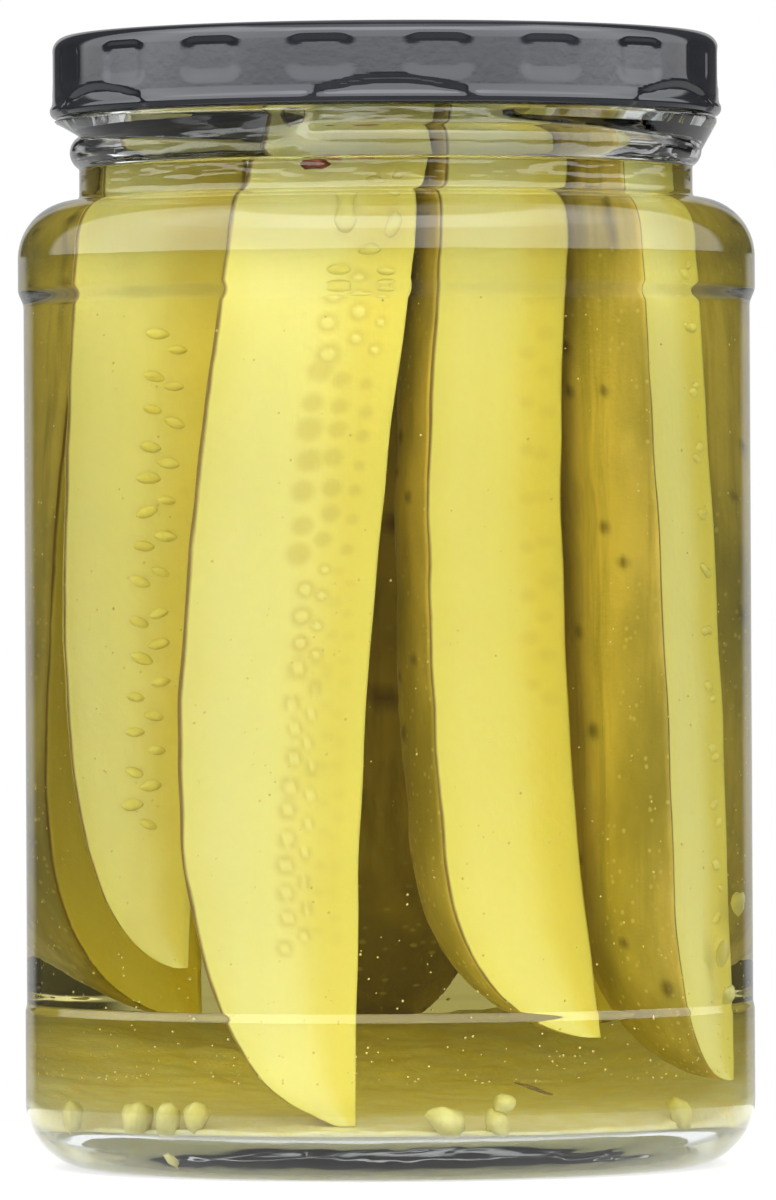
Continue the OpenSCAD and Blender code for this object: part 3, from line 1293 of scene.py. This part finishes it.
FRONT_SEEDS = (
    SeedColumn(SeedLook.TIPPED, 8.6, 1.35, 29, 77, 3.5),
    SeedColumn(SeedLook.TIPPED, 6.4, 1.0, 30.8, 77, 3.5),
    SeedColumn(SeedLook.FAINT, 4.6, 1.0, 31.5, 77, 3.9),
    SeedColumn(SeedLook.FAINT, 2.9, 0.9, 30, 77, 3.2),
    SeedColumn(SeedLook.HOLLOW, 9.4, 1.6, 78.5, 102, 3.8),
    SeedColumn(SeedLook.HOLLOW, 6.4, 1.25, 80.4, 102, 3.6),
    SeedColumn(SeedLook.HOLLOW, 3.5, 0.9, 79, 102, 3.4),
    SeedColumn(SeedLook.TIPPED, 8.8, 1.6, 103.5, 113, 4.0),
    SeedColumn(SeedLook.TIPPED, 5.8, 1.35, 105.4, 113, 3.8),
    SeedColumn(SeedLook.TIPPED, 3.2, 1.0, 104, 113, 3.8),
    SeedColumn(SeedLook.WHOLE, 8.0, 1.35, 114.5, 127, 4.0),
    SeedColumn(SeedLook.WHOLE, 5.4, 1.25, 112.6, 127, 4.0),
    SeedColumn(SeedLook.WHOLE, 2.9, 1.0, 114, 127, 4.2),
)
LEFT_SEEDS = (
    SeedColumn(SeedLook.WHOLE, 7.8, 1.25, 47, 108, 4.7),
    SeedColumn(SeedLook.WHOLE, 5.4, 1.2, 44.5, 106, 4.7),
    SeedColumn(SeedLook.FAINT, 3.6, 1.1, 50, 106, 5.5),
)
RIGHT_SEEDS = (
    SeedColumn(SeedLook.WHOLE, 3.6, 1.25, 32, 120, 7.4),
    SeedColumn(SeedLook.WHOLE, 2.5, 1.1, 35.5, 120, 8.2),
)
CENTRE_SEEDS = (
    SeedColumn(SeedLook.FAINT, 2.2, 1.4, 60, 118, 5.2),
    SeedColumn(SeedLook.FAINT, 4.6, 1.2, 62, 118, 6.1),
)
SPEARS = (
    Spear("spear_front", (6.5, -29.3), (-4, -33.6), (-2.9, -2.6), 60, 23.0, 174, FRONT_SEEDS, 0.12),
    Spear("spear_left", (-14.4, -12.4), (-22.4, -19.6), (-0.6, -1.9), 60, 19.5, 171, LEFT_SEEDS, 0.4),
    Spear("spear_centre", (21.5, -19.6), (23.2, -17.8), (-3.6, 2.4), 24, 18.6, 218, CENTRE_SEEDS),
    Spear("spear_right", (30.6, -4.2), (37.6, -4), (0.7, 0.6), 26, 18.4, 260, RIGHT_SEEDS, 0.2),
    # The three rear spears take the darker rind copy, which is painted shade.
    Spear("spear_rear_left", (-11, 13.4), (-16, 18), (-1.4, 1), 40, 18.4, 206, fine=False, rind=REAR_RIND),
    Spear("spear_rear_right", (12, 13.4), (15, 17.5), (1.8, 1), 34, 18.1, 34, fine=False, rind=REAR_RIND),
    Spear("spear_rear", (0.5, 33), (-1, 36.5), (0.4, 1.5), 48, 18.8, 304, fine=False, rind=REAR_RIND),
)


# --------------------------------------------------------------------------------------------------
# Small bits
# --------------------------------------------------------------------------------------------------


@dataclass
class LyingSeeds:
    """The whole seeds that lie on the cut faces, in millimetres."""

    spears: Sequence[Spear]
    thick: float = 0.42
    sunk: float = 0.16

    def make(self) -> bpy.types.Object:
        """Builds each seed of a small ball drawn out to a point at both ends, and lays it on its face.

        Returns:
            The piece.
        """
        bm = bmesh.new()
        for spear in self.spears:
            along = spear.direction(0.0)
            up = Vector((0.0, 0.0, 1.0))
            normal = up.cross(along)
            for seed in (s for s in spear.seeds if s.whole):
                made = bmesh.ops.create_icosphere(bm, subdivisions=3, radius=1.0)["verts"]
                for v in made:
                    v.co.y *= 1 - 0.4 * v.co.x ** 4
                bmesh.ops.scale(bm, vec=(seed.half_out * 0.88, seed.half_up * 0.78, self.thick), verts=made)
                turned = Matrix.Rotation(math.radians(seed.turn), 3, "Z")
                bmesh.ops.rotate(bm, cent=(0, 0, 0), matrix=turned, verts=made)
                laid = Matrix((along, up, normal)).transposed()
                bmesh.ops.rotate(bm, cent=(0, 0, 0), matrix=laid, verts=made)
                place = spear.point(0.0, seed.z, 0.0) + along * seed.out - normal * self.sunk
                bmesh.ops.translate(bm, vec=place, verts=made)
        return adopt(solid(bm, "cucumber_seeds", [SEED]), "pickle")


@dataclass(frozen=True)
class Bit:
    """One small lump: where it lies, its size along each axis and how it is turned, in mm and degrees."""

    place: tuple[float, float, float]
    size: tuple[float, float, float]
    turn: float = 0.0


@dataclass
class Bits:
    """Small lumps of one kind, joined into one piece."""

    name: str
    finish: Finish
    bits: Sequence[Bit]
    rounds: int = 2
    rough: float = 0.18
    seed_number: int = 5

    def make(self) -> bpy.types.Object:
        """Builds each lump of a small ball that is stretched, turned and made uneven.

        Returns:
            The piece.
        """
        bm = bmesh.new()
        for number, bit in enumerate(self.bits):
            made = bmesh.ops.create_icosphere(bm, subdivisions=self.rounds, radius=0.5)["verts"]
            for v in made:
                swell = noise.noise(v.co * 2.3 + Vector((number * 3.7, self.seed_number, 0)))
                v.co *= 1 + self.rough * 2 * swell
            bmesh.ops.scale(bm, vec=bit.size, verts=made)
            turned = Matrix.Rotation(math.radians(bit.turn), 3, (0.3, 0.9, 0.4))
            bmesh.ops.rotate(bm, cent=(0, 0, 0), matrix=turned, verts=made)
            bmesh.ops.translate(bm, vec=bit.place, verts=made)
        return adopt(solid(bm, self.name, [self.finish]), "pickle")


GARLIC_BITS = (
    Bit((-37.0, -15.5, 7.6), (3.6, 2.6, 3.0), 10), Bit((-29.5, -24.0, 7.4), (4.4, 3.0, 3.6), 40),
    Bit((-26.0, -27.0, 7.2), (5.2, 3.2, 3.2), 80), Bit((-22.5, -29.0, 7.6), (3.6, 3.0, 3.6), 15),
    Bit((6.5, -37.0, 7.4), (5.0, 3.0, 3.2), 30), Bit((12.5, -35.0, 7.0), (4.2, 3.0, 2.6), 65),
    Bit((13.5, -36.0, 9.4), (3.4, 2.4, 2.6), 120), Bit((33.0, -17.0, 7.2), (4.0, 3.0, 3.0), 50),
    Bit((38.6, -11.5, 27.5), (2.6, 2.2, 3.8), 20), Bit((39.4, -10.5, 22.0), (2.2, 2.0, 3.2), 60),
    Bit((40.2, -6.0, 33.7), (3.0, 2.2, 3.8), 75), Bit((-8.0, 24.0, 7.3), (4.0, 3.4, 3.0), 20),
    Bit((20.0, 27.0, 7.3), (4.4, 3.0, 2.8), 70), Bit((-24.0, 22.0, 7.2), (3.4, 3.0, 2.8), 35),
)
PEPPER_BITS = (Bit((-8.6, -34.6, 127.6), (3.7, 1.4, 1.5), 3), Bit((14.0, 24.0, 128.5), (3.0, 2.0, 0.8), 20))
PALE_BITS = (Bit((-2.6, -33.6, 129.0), (4.0, 2.0, 1.5), 0), Bit((-6.6, -33.0, 128.7), (2.8, 2.0, 1.2), 30))
PEEL_BITS = (Bit((17.0, -34.5, 11.3), (5.0, 0.4, 0.5), 25),)


@dataclass
class Crumbs:
    """Specks of spice and flesh that hang in the brine near the glass."""

    jar: Jar
    count: int = 1500
    smallest: float = 0.07
    largest: float = 0.19
    seed_number: int = 11

    def make(self) -> bpy.types.Object:
        """Scatters small crumbs, more of them low down.

        Returns:
            The piece.
        """
        chance = random.Random(self.seed_number)
        bm = bmesh.new()
        for _ in range(self.count):
            angle = chance.uniform(0, 2 * math.pi)
            reach = self.jar.cavity_r - chance.uniform(0.35, 0.9)
            z = self.jar.base_t + 7 + 100 * chance.random() ** 2
            radius = chance.uniform(self.smallest, self.largest)
            made = bmesh.ops.create_icosphere(bm, subdivisions=1, radius=radius)["verts"]
            place = (reach * math.cos(angle), reach * math.sin(angle), z)
            bmesh.ops.translate(bm, verts=made, vec=place)
        return adopt(solid(bm, "brine_crumbs", [CRUMB]), "pickle")


@dataclass
class Sediment:
    """The soft bed of pulp and spice that has settled in the heel, banked up against the back."""

    jar: Jar
    gap: float = 0.4
    rings: int = 46
    sides: int = 160
    front_depth: float = 0.5
    back_depth: float = 13.0
    front_r: float = 37.5
    front_y: float = -18.0
    side_y: float = 6.0
    back_y: float = 42.0

    def under(self, out: float) -> float:
        """Height of the jar's floor and heel, with the gap.

        Args:
            out: The distance from the axis.
        Returns:
            Millimetres.
        """
        heel = self.jar.inner_heel_r
        over = max(0.0, out - (self.jar.cavity_r - heel))
        return self.jar.base_t + self.gap + heel - math.sqrt(max(0.0, heel ** 2 - over ** 2))

    def make(self) -> bpy.types.Object:
        """Lays a round sheet along the floor and the heel, thickens it and makes its upper side uneven.

        Returns:
            The piece.
        """
        bm = bmesh.new()
        ray = [bm.verts.new((i / self.rings, 0.0, 0.0)) for i in range(self.rings + 1)]
        edges = [bm.edges.new(pair) for pair in zip(ray, ray[1:])]
        bmesh.ops.spin(bm, geom=ray + edges, cent=(0, 0, 0), axis=(0, 0, 1), dvec=(0, 0, 0),
                       angle=2 * math.pi, steps=self.sides, use_merge=True, use_duplicate=False)
        bmesh.ops.remove_doubles(bm, verts=bm.verts, dist=1e-4)
        lower = list(bm.verts)
        made = bmesh.ops.extrude_face_region(bm, geom=list(bm.faces))["geom"]
        upper = {g for g in made if isinstance(g, bmesh.types.BMVert)}
        for v in lower + list(upper):
            share = math.hypot(v.co.x, v.co.y)
            lift = eased(v.co.y * self.jar.cavity_r, self.front_y, self.back_y)
            edge = eased(v.co.y * self.jar.cavity_r, self.front_y, self.side_y)
            reach = self.front_r + (self.jar.cavity_r - self.gap - self.front_r) * edge
            v.co = v.co * reach
            v.co.z = self.under(share * reach)
            if v in upper:
                lumps = noise.noise(Vector((v.co.x / 8, v.co.y / 8, 1.7)))
                lumps += 0.4 * noise.noise(Vector((v.co.x / 2.2, v.co.y / 2.2, 4.1)))
                depth = self.front_depth + (self.back_depth - self.front_depth) * lift
                v.co.z = self.jar.base_t + self.gap + max(0.2, depth + lumps * (0.3 + lift))
                v.co.z = max(v.co.z, self.under(share * reach) + 0.05)
        return adopt(solid(bm, "settled_pulp", [PULP]), "pickle")


# --------------------------------------------------------------------------------------------------
# Studio
# --------------------------------------------------------------------------------------------------


@dataclass
class Studio:
    """The floor, the light and the camera, in millimetres."""

    eye_height: float = 74.0
    eye_distance: float = 1426.0
    lens_per_distance: float = 0.2331
    horizon_shift: float = -10 / 1200
    roll: float = 0.3
    floor_r: float = 130.0
    light_edge: float = 2.3
    front_light: float = 3.3
    high_light: float = 2.5
    side_light: float = 3.6
    screen_light: float = 0.5
    room_light: float = 0.05
    low_front_light: float = 0.12
    table_light: float = 0.5

    def make_camera(self) -> None:
        """Sets a level camera at the height of the middle of the jar."""
        data = bpy.data.cameras.new("studio_camera")
        data.lens = self.lens_per_distance * self.eye_distance
        data.shift_y = self.horizon_shift
        data.clip_start, data.clip_end = 0.05, 50.0
        camera = bpy.data.objects.new("studio_camera", data)
        camera.location = (0.0, -self.eye_distance * MM, self.eye_height * MM)
        camera.rotation_euler = (math.pi / 2, math.radians(self.roll), 0.0)
        bpy.context.scene.collection.objects.link(camera)
        bpy.context.scene.camera = camera

    def make_floor(self) -> None:
        """Lays a pale round floor."""
        bm = bmesh.new()
        bmesh.ops.create_circle(bm, cap_ends=True, segments=128, radius=self.floor_r)
        floor = solid(bm, "studio_floor", [StudioFloor("studio_floor")])

    def make_light(self) -> None:
        """Hangs soft lights round the front and sides from just above eye level, and a screen behind."""
        world = bpy.data.worlds.new("studio_tent")
        bpy.context.scene.world = world
        graph = Graph(world)
        away = graph.node("ShaderNodeTexCoord", {}, {}).outputs["Generated"]
        axes = graph.node("ShaderNodeSeparateXYZ", {}, {"Vector": away}).outputs
        x, y, z = (Wire(graph, socket) for socket in axes)
        level = (x * x + y * y + 0.0001) ** 0.5
        back = y / level
        screen = back.step(0.86, 0.93) * (1 - z.step(0.03, 0.045) * (1 - back.step(0.955, 0.975)))
        lit = (1 - back.step(0.6, 0.68)) * (1 - back.step(-0.1, 0.6) * 0.6)
        side = back.step(-0.85, -0.55)
        high_box = z.step(0.6, 0.66) * self.high_light
        front = (self.front_light + high_box) * (1 - side) + side * (self.side_light + high_box * 0.4)
        boxes = lit * front + screen * self.screen_light + self.room_light
        boxes = boxes * (1 - z.step(0.88, 0.92) * 0.7)
        low_front = (1 - back.step(-0.7, -0.2)) * self.low_front_light
        band = self.room_light + low_front + screen * self.screen_light
        edge = math.sin(math.radians(self.light_edge))
        high = z.step(edge - 0.002, edge + 0.002)
        low = (-z).step(0.08, 0.2)
        tent = band * (1 - high) * (1 - low) + boxes * high + low * self.table_light
        seen = Wire(graph, graph.node("ShaderNodeLightPath", {}, {}).outputs["Is Camera Ray"])
        strength = tent * (1 - seen) + seen
        shader = graph.node("ShaderNodeBackground", {}, {"Color": (1.0, 1.0, 1.0), "Strength": strength})
        graph.finish(shader.outputs[0])


def main() -> None:
    """Builds the studio and then the jar, from the outside in."""
    logging.basicConfig(level=logging.INFO, format="%(message)s")
    scene = bpy.context.scene
    scene.view_settings.view_transform = "Standard"
    scene.cycles.max_bounces, scene.cycles.transmission_bounces = 14, 14
    scene.cycles.glossy_bounces, scene.cycles.diffuse_bounces = 5, 3
    studio = Studio()
    studio.make_camera()
    studio.make_floor()
    studio.make_light()
    jar = Jar()
    brine = Brine(jar)
    jar.make_glass(brine.level)
    Lid().make()
    brine.make()
    for spear in SPEARS:
        spear.make()
    LyingSeeds(SPEARS).make()
    Bits("garlic_bits", GARLIC, GARLIC_BITS).make()
    Bits("pepper_flakes", PEPPER, PEPPER_BITS, 2, 0.25, 2).make()
    Bits("pale_flakes", PALE_FLAKE, PALE_BITS, 2, 0.2, 3).make()
    Bits("garlic_peel", PEEL, PEEL_BITS, 2, 0.3, 4).make()
    Crumbs(jar).make()
    Sediment(jar).make()


if __name__ == "__main__":
    main()
